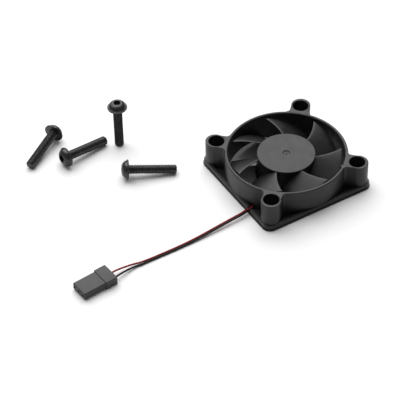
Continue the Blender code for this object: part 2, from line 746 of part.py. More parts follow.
def plug(mats, parent):
    """The three-way housing, lying flat, wire end towards the fan. Its own -Y is its mating end."""
    holder = empty("plug_place", (*PLUG_CENTRE, FLOOR_CLEARANCE))
    holder.rotation_euler = Euler((0, 0, PLUG_TURN))
    holder.parent = parent
    half_length = PLUG_LENGTH / 2
    half_width = PLUG_WIDTH / 2
    step = half_length - PLUG_REAR_LENGTH
    rear = box((-half_width, step, 0), (half_width, half_length, PLUG_REAR_HEIGHT))
    housing = add_object("plug_housing", rear, mats["plug"], holder)
    front_half = half_width - PLUG_SIDE_INSET
    front = box(
        (-front_half, -half_length, PLUG_FRONT_INSET),
        (front_half, step + MM / 2, PLUG_REAR_HEIGHT - PLUG_FRONT_INSET),
    )
    unite(housing, "plug_front", front)
    middle = PLUG_REAR_HEIGHT / 2
    front_wall = 1.0 * MM
    for way in (-1, 0, 1):
        x = way * PLUG_PITCH
        cavity = box(
            (x - CAVITY_SIDE / 2, -half_length + front_wall, middle - CAVITY_SIDE / 2),
            (x + CAVITY_SIDE / 2, half_length + MM, middle + CAVITY_SIDE / 2),
        )
        cut(housing, f"cavity_{way + 2}", cavity)
        socket = box(
            (x - SOCKET_SIDE / 2, -half_length - MM, middle - SOCKET_SIDE / 2),
            (x + SOCKET_SIDE / 2, -half_length + 2 * front_wall, middle + SOCKET_SIDE / 2),
        )
        cut(housing, f"socket_{way + 2}", socket)
    contact_half = CAVITY_SIDE / 2 - 0.15 * MM
    for colour, way in (("red", 0), ("black", 1)):
        x = way * PLUG_PITCH
        contact = box(
            (x - contact_half, -half_length + front_wall + 0.3 * MM, middle - contact_half),
            (x + contact_half, half_length - 1.5 * MM, middle + contact_half),
        )
        piece = add_object(f"{colour}_contact", contact, mats["tin"], holder)
        pin_way = box(
            (x - 0.3 * MM, -half_length, middle - 0.3 * MM),
            (x + 0.3 * MM, -half_length + 6 * MM, middle + 0.3 * MM),
        )
        cut(piece, f"{colour}_pin_way", pin_way)


def screw_mesh():
    """A flanged button-head screw, standing on its tip: its axis is Z and its tip is at the origin."""
    head = SHANK_LENGTH
    profile = (
        (0, 0),
        (SHANK_RADIUS - SHANK_CHAMFER, 0),
        (SHANK_RADIUS, SHANK_CHAMFER),
        (SHANK_RADIUS, head),
        (FLANGE_RADIUS - 0.1 * MM, head),
        (FLANGE_RADIUS, head + 0.1 * MM),
        (FLANGE_RADIUS, head + 0.35 * MM),
        (FLANGE_RADIUS - 0.1 * MM, head + 0.45 * MM),
        (FLANGE_RADIUS - 0.3 * MM, head + 0.5 * MM),
        (FLANGE_RADIUS - 0.42 * MM, head + 0.9 * MM),
        (FLANGE_RADIUS - 0.75 * MM, head + 1.4 * MM),
        (FLANGE_RADIUS - 1.2 * MM, head + 1.8 * MM),
        (FLANGE_RADIUS - 1.7 * MM, head + HEAD_HEIGHT),
        (0, head + HEAD_HEIGHT),
    )
    return turned(profile, 24)


def hex_cutter():
    corner = HEX_FLATS / math.sqrt(3)
    outline = [(corner * math.cos(k * math.pi / 3), corner * math.sin(k * math.pi / 3)) for k in range(6)]
    top = SHANK_LENGTH + HEAD_HEIGHT
    return prism(outline, top - HEX_DEPTH, top + MM)


def screws(mat):
    """Four loose screws: three lie on flange and tip, and one stands on its tip."""
    lean = math.atan((FLANGE_RADIUS - SHANK_RADIUS) / (SHANK_LENGTH + 0.25 * MM - SHANK_CHAMFER))
    places = {name: (x, y, math.pi / 2 - lean, turn) for name, (x, y, turn) in LYING_SCREWS.items()}
    name, x, y = STANDING_SCREW
    places[name] = (x, y, 0.0, 0.0)
    for name, (x, y, tip_over, turn) in sorted(places.items()):
        height = FLOOR_CLEARANCE
        if tip_over:
            height += SHANK_RADIUS * math.cos(lean) - SHANK_CHAMFER * math.sin(lean)
        holder = empty(f"{name}_place", (x, y, height))
        holder.rotation_euler = Euler((0, tip_over, turn))
        cut(add_object(name, screw_mesh(), mat, holder), f"{name}_hex", hex_cutter())


def main():
    clear_scene()
    mats = {
        "frame": material("frame_plastic", (0.028, 0.028, 0.03), 0.42),
        "rotor": material("rotor_plastic", (0.032, 0.032, 0.034), 0.38),
        "plug": material("plug_plastic", (0.07, 0.07, 0.072), 0.5),
        "steel": material("bright_steel", (0.55, 0.55, 0.56), 0.28, 1.0),
        "black_oxide": material("black_oxide_steel", (0.03, 0.03, 0.032), 0.36, 0.8),
        "brass": material("brass", (0.7, 0.52, 0.22), 0.3, 1.0),
        "ferrite": material("ferrite", (0.06, 0.055, 0.05), 0.7),
        "lamination": material("lamination_steel", (0.3, 0.3, 0.31), 0.45, 1.0),
        "insulator": material("insulator_plastic", (0.75, 0.73, 0.66), 0.5),
        "copper": material("enamelled_copper", (0.6, 0.22, 0.08), 0.3, 0.9),
        "board": material("board_laminate", (0.03, 0.16, 0.06), 0.5),
        "chip": material("chip_epoxy", (0.02, 0.02, 0.02), 0.5),
        "solder": material("solder", (0.6, 0.6, 0.62), 0.25, 1.0),
        "rubber": material("rubber", (0.02, 0.02, 0.02), 0.8),
        "label": material("label_film", (0.6, 0.6, 0.62), 0.4),
        "tin": material("tin_plate", (0.65, 0.63, 0.58), 0.3, 1.0),
        "red_insulation": material("red_insulation", (0.33, 0.03, 0.03), 0.4),
        "black_insulation": material("black_insulation", (0.02, 0.018, 0.018), 0.4),
    }
    fan = empty("fan_place")
    rotor = empty("impeller_axis")
    rotor.parent = fan
    fan_frame(mats["frame"], fan)
    impeller(mats["rotor"], rotor)
    rotor_pieces(mats, rotor)
    bearings(mats, fan, rotor)
    stator(mats, fan)
    circuit_board(mats, fan)
    leads(mats, fan)
    plug(mats, fan)
    screws(mats["black_oxide"])


main()
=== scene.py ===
"""The looks of a 40 mm cooling fan with its leads, plug and screws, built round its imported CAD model.

Every length is in metres, in the CAD model's own frame: the origin is the centre of the fan's underside and
+Z is up, towards the air intake. Mouldings, screws and leads are modelled again here in fine detail. The
motor's inner pieces keep their CAD shape and get finished materials.
"""

import math

import bmesh
import bpy
from mathutils import Euler, Matrix, Vector


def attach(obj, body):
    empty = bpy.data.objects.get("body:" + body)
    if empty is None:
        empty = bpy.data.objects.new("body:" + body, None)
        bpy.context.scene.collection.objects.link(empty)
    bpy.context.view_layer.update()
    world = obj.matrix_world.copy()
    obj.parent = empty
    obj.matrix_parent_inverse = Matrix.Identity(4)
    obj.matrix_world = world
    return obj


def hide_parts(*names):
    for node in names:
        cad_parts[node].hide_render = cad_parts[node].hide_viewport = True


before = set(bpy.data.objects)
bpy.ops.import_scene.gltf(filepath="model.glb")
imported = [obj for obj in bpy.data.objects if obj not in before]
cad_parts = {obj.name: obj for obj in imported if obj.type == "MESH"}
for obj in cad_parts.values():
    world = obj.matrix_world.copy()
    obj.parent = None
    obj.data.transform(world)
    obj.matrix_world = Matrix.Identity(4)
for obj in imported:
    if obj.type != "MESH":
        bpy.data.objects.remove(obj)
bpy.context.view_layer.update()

MM = 0.001

# How far a cutter, or a piece that is to be joined, runs past the face that it meets
OVERLAP = 1.0 * MM
# Edges that turn by more than this are shaded sharp
SHARP_ANGLE = math.radians(38)

# Frame moulding
BASE_HALF = 19.65 * MM
BASE_CORNER = 2.6 * MM
LIP_PROUD = 0.25 * MM
LIP_HEIGHT = 0.5 * MM
LIP_CHAMFER = 0.1 * MM
LIP_SOFTNESS = 0.12 * MM
RIM_HEIGHT = 2.0 * MM
RIM_WALL = 1.1 * MM
RIM_SOFTNESS = 0.22 * MM
GROOVE_DEPTH = 0.14 * MM
GROOVE_HEIGHT = 0.2 * MM
GROOVE_SOFTNESS = 0.04 * MM
FINE_SOFTNESS = 0.06 * MM
POCKET_FILLET = 0.15 * MM
POCKET_SOFTNESS = 0.2 * MM
POCKET_MOUTH = 0.25 * MM
FLOOR = 0.8 * MM
RING_OUTER = 19.5 * MM
RING_INNER = 18.5 * MM
RING_HEIGHT = 9.6 * MM
RING_SOFTNESS = 0.45 * MM
HOLE_SPACING = 32.0 * MM
HOLE_RADIUS = 2.5 * MM
BOSS_RADIUS = 3.1 * MM
BOSS_REACH = 0.45 * MM
BOSS_HEIGHT = 9.7 * MM
WEB_HALF_WIDTH = 3.0 * MM
WEB_TOP = 9.65 * MM
WEB_FILLET = 1.2 * MM
WEB_SOFTNESS = 0.18 * MM
WEB_TOP_INSET = 0.4 * MM
BOSS_SOFTNESS = 0.16 * MM
HOLE_MOUTH = 0.14 * MM
DUCT_BOTTOM_EDGE = 0.28 * MM
DUCT_TOP_EDGE = 0.62 * MM
DUCT_CLEARANCE = 0.003 * MM
RING_SEGMENTS = 192
BOSS_SEGMENTS = 64

# The ring, bosses and webs start at different heights inside the floor, so that no two faces share a plane
RING_START = 0.3 * FLOOR
BOSS_START = 0.5 * FLOOR
WEB_START = 0.7 * FLOOR

# Motor seat, struts and lead channel
TUBE_OUTER = 3.25 * MM
SEAT_RADIUS = 9.7 * MM
SEAT_TOP = 1.2 * MM
SEAT_WALL_INNER = 8.85 * MM
SEAT_WALL_TOP = 1.9 * MM
SEAT_SOFTNESS = 0.15 * MM
SEAT_SEGMENTS = 128
LABEL_RADIUS = 8.1 * MM
LABEL_DEPTH = 0.2 * MM
LABEL_GAP = 0.06 * MM
LABEL_SOFTNESS = 0.04 * MM
STRUT_ANGLES = (math.radians(54), math.radians(174))
STRUT_HALF_WIDTH = 1.0 * MM
STRUT_BOTTOM = 0.1 * MM
LEAD_STRUT_ANGLE = math.radians(-66)
LEAD_STRUT_HALF_WIDTH = 1.5 * MM
LEAD_STRUT_TOP = 1.5 * MM
CHANNEL_HALF_WIDTH = 1.05 * MM
CHANNEL_FLOOR = 0.35 * MM
CHANNEL_START = 7.2 * MM
NOTCH_X = 8.8 * MM
NOTCH_HALF_WIDTH = 0.85 * MM
NOTCH_FLOOR = 0.95 * MM

# Impeller
BLADES = 7
BLADE_PHASE = math.radians(168.6)
BLADE_SWEEP = math.radians(15)
BLADE_ROOT = 8.9 * MM
BLADE_TIP = 17.7 * MM
BLADE_ROOT_TOP = 8.5 * MM
BLADE_TIP_TOP = 8.85 * MM
BLADE_BOTTOM = 2.45 * MM
BLADE_ROOT_CHORD = math.radians(45)
BLADE_TIP_CHORD = math.radians(44)
BLADE_CAMBER = 1.2
BLADE_THICKNESS = 0.7 * MM
BLADE_NOSE = 0.06
BLADE_EDGE_SHARE = 0.55
BLADE_TIP_SOFTNESS = 0.18 * MM
BLADE_COLUMNS = 36
BLADE_ROWS = 25
ROOT_FLARE = 0.35 * MM
ROOT_FLARE_REACH = 0.45 * MM
HUB_RADIUS = 9.3 * MM
HUB_TOP = 9.05 * MM
HUB_BOTTOM = 2.3 * MM
HUB_INNER = 8.35 * MM
HUB_PLATE = 1.0 * MM
SHAFT_BORE = 1.05 * MM
SHAFT_BORE_TOP = 8.6 * MM
DIMPLE_RADIUS = 1.05 * MM
DIMPLE_DEPTH = 0.25 * MM
DIMPLE_WALL = 0.12 * MM
NUB_RADIUS = 0.3 * MM
HUB_SEGMENTS = 160

# Leads and plug
LEAD_DIAMETER = 0.6 * MM
LEAD_OFFSET = 0.35 * MM
LEAD_STEP = 0.4 * MM
TAIL_STOPS = (7.6 * MM, 10.0 * MM, 12.5 * MM, 15.0 * MM, 17.4 * MM)
NOTCH_APPROACH = (-0.2 * MM, -18.3 * MM, 1.35 * MM)
NOTCH_EXIT = (0.0, -19.65 * MM, 1.35 * MM)
PLUG_CENTRE = (10.93 * MM, -75.55 * MM)
PLUG_TURN = math.radians(5.5)
PLUG_LENGTH = 11.9 * MM
PLUG_WIDTH = 6.8 * MM
PLUG_REAR_LENGTH = 4.1 * MM
PLUG_REAR_HEIGHT = 2.9 * MM
PLUG_FRONT_INSET = 0.25 * MM
PLUG_SIDE_INSET = 0.25 * MM
PLUG_PITCH = 2.15 * MM
CAVITY_SIDE = 1.3 * MM
SOCKET_SIDE = 0.85 * MM
PLUG_FRONT_WALL = 1.0 * MM
PLUG_SOFTNESS = 0.28 * MM
PLUG_FRONT_SOFTNESS = 1.5 * PLUG_SOFTNESS

# Screws
SHANK_RADIUS = 1.5 * MM
SHANK_LENGTH = 15.5 * MM
SHANK_CHAMFER = 0.4 * MM
THREAD_PITCH = 0.5 * MM
THREAD_DEPTH = 0.17 * MM
THREAD_RUNOUT = 0.9 * MM
THREAD_CREST = 1.35
THREAD_STEEPNESS = 1.1
ROWS_PER_TURN = 8
SCREW_SEGMENTS = 48
FLANGE_RADIUS = 3.2 * MM
FLANGE_THICKNESS = 0.42 * MM
HEAD_HEIGHT = 2.05 * MM
HEX_FLATS = 2.2 * MM
HEX_DEPTH = 1.2 * MM
FLOOR_CLEARANCE = 0.01 * MM

# Where each lying screw's tip is, and the compass angle from its tip towards its head
LYING_SCREWS = {
    "screw_1": (-45.7 * MM, -67.9 * MM, math.radians(121.8)),
    "screw_2": (-43.6 * MM, -41.3 * MM, math.radians(278)),
    "screw_4": (-19.3 * MM, -29.0 * MM, math.radians(245.4)),
}
STANDING_SCREW = ("screw_3", -40.9 * MM, -37.7 * MM)

# The leads' route, in millimetres: the pair's middle, then each lead where the two part
PAIR_ROUTE = (
    (8.8, -19.65, 1.35),
    (8.9, -20.8, 1.38),
    (9.3, -23.0, 1.38),
    (9.55, -26.7, 1.25),
    (9.8, -30.6, 1.05),
    (10.05, -34.4, 0.85),
    (10.3, -38.2, 0.65),
    (10.45, -41.9, 0.5),
    (10.5, -45.5, 0.4),
    (10.5, -49.0, 0.37),
    (10.45, -52.5, 0.37),
    (10.4, -56.0, 0.39),
)
RED_END = (
    (9.9, -59.3, 0.5),
    (9.65, -61.4, 0.7),
    (9.6, -63.6, 0.98),
    (9.65, -66.2, 1.28),
    (9.8, -68.6, 1.44),
    (10.1, -69.5, 1.46),
    (10.42, -70.4, 1.46),
)
BLACK_END = (
    (10.75, -59.2, 0.42),
    (10.65, -61.5, 0.55),
    (11.0, -64.3, 0.9),
    (11.55, -66.7, 1.25),
    (12.1, -68.9, 1.44),
    (12.35, -69.6, 1.46),
    (12.57, -70.25, 1.46),
)

# Camera and light
CAMERA_AZIMUTH = math.radians(59.456)
CAMERA_ELEVATION = math.radians(43.415)
CAMERA_ROLL = math.radians(-1.273)
CAMERA_TARGET = (-0.004341, -0.029393, 0.0)
CAMERA_DISTANCE = 0.6020
CAMERA_LENS = 172.44
ROOM_BRIGHTNESS = 0.22
SOFTBOX_DIAMETER = 1.7
SOFTBOX_WATTS = 24.0
SOFTBOX_PLACE = (-0.58, 0.14, 0.9)
SOFTBOX_TARGET = (0, -0.03, 0)


# --- Mesh tools ---


def softened(points, steps=4):
    """The profile through (offset, height, cut) points, each corner eased by a curve that starts cut away."""
    profile = []
    for index, (x, y, cut) in enumerate(points):
        if not cut:
            profile.append((x, y))
            continue
        corner = Vector((x, y))
        start = corner + cut * (Vector(points[index - 1][:2]) - corner).normalized()
        end = corner + cut * (Vector(points[(index + 1) % len(points)][:2]) - corner).normalized()
        for step in range(steps + 1):
            t = step / steps
            profile.append(tuple((1 - t) ** 2 * start + 2 * t * (1 - t) * corner + t * t * end))
    return profile


def arc(centre, radius, start, end, steps):
    points = []
    for step in range(steps + 1):
        angle = start + (end - start) * step / steps
        points.append((centre[0] + radius * math.cos(angle), centre[1] + radius * math.sin(angle)))
    return points


def circle(radius, segments):
    return arc((0, 0), radius, 0, 2 * math.pi, segments)[:-1]


def rounded_rectangle(half_x, half_y, corner, steps=8):
    points = []
    for quarter, (sign_x, sign_y) in enumerate(((1, 1), (-1, 1), (-1, -1), (1, -1))):
        start = quarter * math.pi / 2
        centre = (sign_x * (half_x - corner), sign_y * (half_y - corner))
        points += arc(centre, corner, start, start + math.pi / 2, steps)
    return points


def bridge(bm, lower, upper):
    for step in range(len(lower)):
        after = (step + 1) % len(lower)
        corners = (lower[step], lower[after], upper[after], upper[step])
        unique = list(dict.fromkeys(corners))
        if len(unique) > 2:
            bm.faces.new(unique)


def lofted(outline, profile):
    """A closed solid whose outline, outline(offset), follows the profile of (offset, height) upwards."""
    bm = bmesh.new()
    loops = []
    for offset, height in profile:
        loops.append([bm.verts.new((x, y, height)) for x, y in outline(offset)])
    for lower, upper in zip(loops, loops[1:]):
        bridge(bm, lower, upper)
    bm.faces.new(loops[0])
    bm.faces.new(loops[-1])
    return bm


def turned(profile, segments):
    """A closed profile of (radius, height) points, turned about Z. A point on the axis is one vertex."""
    bm = bmesh.new()
    rings = []
    for radius, height in profile:
        if radius < 1e-9:
            rings.append([bm.verts.new((0, 0, height))] * segments)
        else:
            rings.append([bm.verts.new((x, y, height)) for x, y in circle(radius, segments)])
    for index, ring in enumerate(rings):
        bridge(bm, ring, rings[(index + 1) % len(rings)])
    return bm


def bar(section, start, end):
    """A solid along X from start to end, whose section is a closed outline of (y, z) points."""
    bm = bmesh.new()
    loops = [[bm.verts.new((x, y, z)) for y, z in section] for x in (start, end)]
    bridge(bm, *loops)
    bm.faces.new(loops[0])
    bm.faces.new(loops[1])
    return bm


def section_box(half_width, bottom, top, corner):
    """A rounded (y, z) section between two heights."""
    middle = 0.5 * (bottom + top)
    outline = rounded_rectangle(half_width, 0.5 * (top - bottom), corner, 4)
    return [(y, middle + z) for y, z in outline]


def moved(bm, location=(0, 0, 0), angle=0.0):
    """The bmesh turned about Z and then moved."""
    matrix = Matrix.Translation(location) @ Matrix.Rotation(angle, 4, "Z")
    bmesh.ops.transform(bm, matrix=matrix, verts=bm.verts)
    return bm


def joined(meshes):
    """Several separate bodies as one bmesh."""
    result = bmesh.new()
    for bm in meshes:
        part = bpy.data.meshes.new("part")
        bm.to_mesh(part)
        bm.free()
        result.from_mesh(part)
        bpy.data.meshes.remove(part)
    return result


def new_object(name, bm):
    bmesh.ops.recalc_face_normals(bm, faces=bm.faces)
    mesh = bpy.data.meshes.new(name)
    bm.to_mesh(mesh)
    bm.free()
    obj = bpy.data.objects.new(name, mesh)
    bpy.context.scene.collection.objects.link(obj)
    return obj


def combine(obj, bm, operation):
    """Joins the bmesh to the object, or cuts it away, for good."""
    other = new_object("other", bm)
    modifier = obj.modifiers.new("combine", "BOOLEAN")
    modifier.operation = operation
    modifier.object = other
    modifier.solver = "EXACT"
    bpy.context.view_layer.update()
    evaluated = obj.evaluated_get(bpy.context.evaluated_depsgraph_get())
    mesh = bpy.data.meshes.new_from_object(evaluated)
    obj.modifiers.clear()
    old = obj.data
    obj.data = mesh
    bpy.data.meshes.remove(old)
    bpy.data.objects.remove(other, do_unlink=True)


def unite(obj, bm):
    combine(obj, bm, "UNION")


def cut(obj, bm):
    combine(obj, bm, "DIFFERENCE")


def finish_piece(obj, name, material, body, slot, *nodes):
    """Smooth shading, the material, and the CAD body and nodes that the piece goes with."""
    obj.name = name
    obj.data.name = name
    obj.data.materials.clear()
    obj.data.materials.append(material)
    obj.data.shade_smooth()
    obj.data.set_sharp_from_angle(angle=SHARP_ANGLE)
    weighted = obj.modifiers.new("weighted_normals", "WEIGHTED_NORMAL")
    weighted.keep_sharp = True
    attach(obj, body)
    if nodes:
        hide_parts(*nodes)
    return obj


# --- Materials ---


class Surface:
    """A Principled material that is built up from noise, bands and a painted edge highlight, in the object's
    own space.
    """

    def __init__(self, name, roughness, metallic=0.0):
        self.material = bpy.data.materials.new(name)
        self.material.use_nodes = True
        self.tree = self.material.node_tree
        self.shader = self.tree.nodes["Principled BSDF"]
        self.shader.inputs["Metallic"].default_value = metallic
        self.shader.inputs["Roughness"].default_value = roughness
        self.place = self.node("ShaderNodeTexCoord").outputs["Object"]
        self.normal = None

    def node(self, kind, **settings):
        node = self.tree.nodes.new(kind)
        for key, value in settings.items():
            setattr(node, key, value)
        return node

    def link(self, output, target):
        self.tree.links.new(output, target)

    def noise(self, size, detail=4.0, stretch=(1, 1, 1)):
        """Noise whose features are about size across, between 0 and 1."""
        mapping = self.node("ShaderNodeMapping")
        mapping.inputs["Scale"].default_value = [factor / size for factor in stretch]
        self.link(self.place, mapping.inputs["Vector"])
        noise = self.node("ShaderNodeTexNoise")
        noise.inputs["Scale"].default_value = 1.0
        noise.inputs["Detail"].default_value = detail
        self.link(mapping.outputs["Vector"], noise.inputs["Vector"])
        return noise.outputs["Fac"]

    def bands(self, width, direction):
        """Soft bands across one axis, each width wide."""
        wave = self.node("ShaderNodeTexWave", bands_direction=direction)
        wave.inputs["Scale"].default_value = math.pi / (10 * width)
        wave.inputs["Distortion"].default_value = 0.4
        wave.inputs["Detail"].default_value = 1.0
        self.link(self.place, wave.inputs["Vector"])
        return wave.outputs["Fac"]

    def ramp(self, factor, *stops):
        """A colour ramp through (position, colour) stops."""
        ramp = self.node("ShaderNodeValToRGB")
        elements = ramp.color_ramp.elements
        while len(elements) < len(stops):
            elements.new(0.5)
        for element, (position, colour) in zip(elements, stops):
            element.position = position
            element.color = (*colour, 1.0)
        self.link(factor, ramp.inputs["Fac"])
        return ramp.outputs["Color"]

    def mottled(self, colour, spread, size, detail=5.0):
        """Base colour that drifts a little either side of one tone."""
        low = [max(0.0, channel * (1 - spread)) for channel in colour]
        high = [min(1.0, channel * (1 + spread)) for channel in colour]
        self.paint(self.ramp(self.noise(size, detail), (0.3, low), (0.7, high)))

    def paint(self, colour):
        self.colour = colour
        self.link(colour, self.shader.inputs["Base Color"])

    def patchy(self, low, high, size, detail=3.0):
        """Roughness that varies between two values."""
        spread = self.node("ShaderNodeMapRange")
        spread.inputs["From Min"].default_value = 0.3
        spread.inputs["From Max"].default_value = 0.7
        spread.inputs["To Min"].default_value = low
        spread.inputs["To Max"].default_value = high
        self.link(self.noise(size, detail), spread.inputs["Value"])
        self.link(spread.outputs["Result"], self.shader.inputs["Roughness"])

    def bump(self, height, depth, strength=1.0):
        bump = self.node("ShaderNodeBump")
        bump.inputs["Strength"].default_value = strength
        bump.inputs["Distance"].default_value = depth
        self.link(height, bump.inputs["Height"])
        if self.normal:
            self.link(self.normal, bump.inputs["Normal"])
        self.normal = bump.outputs["Normal"]
        self.link(self.normal, self.shader.inputs["Normal"])

    def painted_edge_highlight(self, colour, width, strength=1.0):
        """A painted highlight: a lighter colour where the surface turns sharply, broken up by noise."""
        bevel = self.node("ShaderNodeBevel", samples=4)
        bevel.inputs["Radius"].default_value = width
        geometry = self.node("ShaderNodeNewGeometry")
        turn = self.node("ShaderNodeVectorMath", operation="DOT_PRODUCT")
        self.link(bevel.outputs["Normal"], turn.inputs[0])
        self.link(geometry.outputs["Normal"], turn.inputs[1])
        mask = self.node("ShaderNodeMapRange")
        mask.inputs["From Min"].default_value = 0.98
        mask.inputs["From Max"].default_value = 0.82
        mask.inputs["To Max"].default_value = strength
        self.link(turn.outputs["Value"], mask.inputs["Value"])
        broken = self.node("ShaderNodeMath", operation="MULTIPLY")
        self.link(mask.outputs["Result"], broken.inputs[0])
        self.link(self.noise(4 * width, 3.0), broken.inputs[1])
        mix = self.node("ShaderNodeMix", data_type="RGBA")
        self.link(broken.outputs["Value"], mix.inputs["Factor"])
        self.link(self.colour, mix.inputs["A"])
        mix.inputs["B"].default_value = (*colour, 1.0)
        self.paint(mix.outputs["Result"])


def moulded_plastic(name, colour, roughness, grain, edge):
    """Satin injection-moulded plastic: spark-eroded grain, faint flow marks and a painted highlight along its
    edges.
    """
    surface = Surface(name, roughness)
    surface.shader.inputs["Specular IOR Level"].default_value = 0.35
    surface.mottled(colour, 0.12, 5 * MM)
    # Painted highlight: the edges are lighter, in the edge colour
    surface.painted_edge_highlight(edge, 0.12 * MM, 0.8)
    surface.patchy(roughness - 0.05, roughness + 0.06, 2.5 * MM)
    surface.bump(surface.noise(grain, 2.0), 0.012 * MM, 0.5)
    return surface.material


def black_oxide(name):
    surface = Surface(name, 0.26, 0.7)
    surface.mottled((0.045, 0.044, 0.044), 0.35, 0.9 * MM)
    # Painted highlight: the screws' edges are lighter
    surface.painted_edge_highlight((0.10, 0.10, 0.10), 0.08 * MM, 0.7)
    surface.patchy(0.2, 0.34, 0.6 * MM)
    surface.bump(surface.noise(0.12 * MM, 2.0), 0.006 * MM, 0.4)
    return surface.material


def insulation(name, colour, roughness):
    """Thin vinyl over stranded wire: soft gloss and a slight ripple from the strands under it."""
    surface = Surface(name, roughness)
    surface.shader.inputs["Specular IOR Level"].default_value = 0.2
    surface.mottled(colour, 0.15, 2 * MM)
    surface.patchy(roughness - 0.06, roughness + 0.08, 1.2 * MM)
    surface.bump(surface.noise(0.5 * MM, 2.0, (1, 0.35, 1)), 0.02 * MM, 0.4)
    return surface.material


def brushed_metal(name, colour, low, high, stretch):
    surface = Surface(name, 0.5 * (low + high), 1.0)
    surface.mottled(colour, 0.08, 1.5 * MM)
    surface.patchy(low, high, 0.3 * MM)
    surface.bump(surface.noise(0.15 * MM, 2.0, stretch), 0.004 * MM, 0.5)
    return surface.material


def grainy(name, colour, roughness, grain, depth, spread=0.2):
    """A plain matt body with visible grain, such as ferrite, epoxy or rubber."""
    surface = Surface(name, roughness)
    surface.mottled(colour, spread, 4 * grain)
    surface.patchy(roughness - 0.08, roughness + 0.08, 6 * grain)
    surface.bump(surface.noise(grain, 3.0), depth, 0.6)
    return surface.material


def laminations(name):
    surface = Surface(name, 0.45, 1.0)
    stripes = surface.bands(0.35 * MM, "Z")
    surface.paint(surface.ramp(stripes, (0.35, (0.20, 0.20, 0.21)), (0.6, (0.42, 0.42, 0.43))))
    surface.patchy(0.35, 0.55, 0.4 * MM)
    surface.bump(stripes, 0.03 * MM, 0.7)
    return surface.material


def winding_wire(name, direction):
    surface = Surface(name, 0.3, 0.9)
    turns = surface.bands(0.16 * MM, direction)
    # Darker in the grooves between turns: painted shade, on top of the bump that shapes them
    surface.paint(surface.ramp(turns, (0.2, (0.28, 0.07, 0.02)), (0.7, (0.66, 0.25, 0.09))))
    surface.patchy(0.22, 0.38, 0.5 * MM)
    surface.bump(turns, 0.06 * MM, 0.9)
    return surface.material


def board_laminate(name):
    surface = Surface(name, 0.45)
    weave = surface.noise(0.5 * MM, 2.0, (1, 4, 1))
    surface.paint(surface.ramp(weave, (0.35, (0.012, 0.075, 0.03)), (0.65, (0.025, 0.13, 0.05))))
    surface.patchy(0.35, 0.55, 0.8 * MM)
    surface.bump(weave, 0.02 * MM, 0.5)
    return surface.material


def label_film(name):
    """Matt silver film with a dark printed border ring, placed by the distance from the fan's axis."""
    surface = Surface(name, 0.38)
    length = surface.node("ShaderNodeVectorMath", operation="LENGTH")
    surface.link(surface.place, length.inputs[0])
    reach = surface.node("ShaderNodeMapRange")
    reach.inputs["From Max"].default_value = LABEL_RADIUS
    surface.link(length.outputs["Value"], reach.inputs["Value"])
    silver = (0.55, 0.56, 0.58)
    dark = (0.03, 0.03, 0.035)
    stops = ((0.0, silver), (0.88, silver), (0.89, dark), (0.94, dark), (0.95, silver))
    surface.paint(surface.ramp(reach.outputs["Result"], *stops))
    surface.patchy(0.32, 0.46, 1.5 * MM)
    surface.bump(surface.noise(0.4 * MM, 3.0), 0.01 * MM, 0.4)
    return surface.material


def floor_paper(name):
    surface = Surface(name, 0.75)
    surface.shader.inputs["Specular IOR Level"].default_value = 0.25
    stops = ((0.3, (0.86, 0.86, 0.86)), (0.7, (0.88, 0.88, 0.88)))
    surface.paint(surface.ramp(surface.noise(40 * MM, 3.0), *stops))
    return surface.material


def grey(tone):
    return (tone, tone, tone)


def make_materials():
    circular = (1, 1, 0.05)
    return {
        # The last colour given to each plastic is its painted edge highlight
        "frame": moulded_plastic("frame_plastic", grey(0.014), 0.40, 0.16 * MM, grey(0.055)),
        "rotor": moulded_plastic("rotor_plastic", (0.012, 0.012, 0.0115), 0.42, 0.13 * MM, grey(0.045)),
        "plug": moulded_plastic("plug_plastic", grey(0.040), 0.5, 0.2 * MM, grey(0.12)),
        "black_oxide": black_oxide("black_oxide_steel"),
        "steel": brushed_metal("bright_steel", (0.56, 0.56, 0.57), 0.2, 0.34, circular),
        "brass": brushed_metal("brass", (0.72, 0.53, 0.23), 0.24, 0.38, circular),
        "tin": brushed_metal("tin_plate", (0.66, 0.64, 0.6), 0.25, 0.4, (1, 0.1, 1)),
        "solder": brushed_metal("solder", (0.62, 0.62, 0.64), 0.15, 0.3, (1, 1, 1)),
        "ferrite": grainy("ferrite", (0.06, 0.055, 0.05), 0.7, 0.12 * MM, 0.02 * MM),
        "lamination": laminations("lamination_steel"),
        "insulator": grainy("insulator_plastic", (0.75, 0.73, 0.66), 0.5, 0.2 * MM, 0.01 * MM, 0.06),
        "copper_x": winding_wire("enamelled_copper_x", "X"),
        "copper_y": winding_wire("enamelled_copper_y", "Y"),
        "board": board_laminate("board_laminate"),
        "chip": grainy("chip_epoxy", (0.02, 0.02, 0.021), 0.55, 0.05 * MM, 0.006 * MM),
        "ceramic": grainy("capacitor_ceramic", (0.42, 0.27, 0.15), 0.4, 0.06 * MM, 0.004 * MM),
        "rubber": grainy("rubber", (0.02, 0.02, 0.02), 0.8, 0.15 * MM, 0.02 * MM),
        "label": label_film("label_film"),
        "red": insulation("red_insulation", (0.24, 0.022, 0.026), 0.42),
        "black": insulation("black_insulation", (0.005, 0.004, 0.004), 0.5),
        "floor": floor_paper("floor_paper"),
    }


# --- Camera, light and floor ---


def make_camera():
    azimuth = CAMERA_AZIMUTH
    level = math.cos(CAMERA_ELEVATION)
    back = Vector((math.sin(azimuth) * level, -math.cos(azimuth) * level, math.sin(CAMERA_ELEVATION)))
    level_right = Vector((math.cos(azimuth), math.sin(azimuth), 0))
    right = math.cos(CAMERA_ROLL) * level_right + math.sin(CAMERA_ROLL) * back.cross(level_right)
    up = back.cross(right)
    data = bpy.data.cameras.new("camera")
    data.lens = CAMERA_LENS
    data.clip_start = 0.01
    camera = bpy.data.objects.new("camera", data)
    rotation = Matrix((right, up, back)).transposed().to_4x4()
    camera.matrix_world = Matrix.Translation(Vector(CAMERA_TARGET) + CAMERA_DISTANCE * back) @ rotation
    bpy.context.scene.collection.objects.link(camera)
    bpy.context.scene.camera = camera


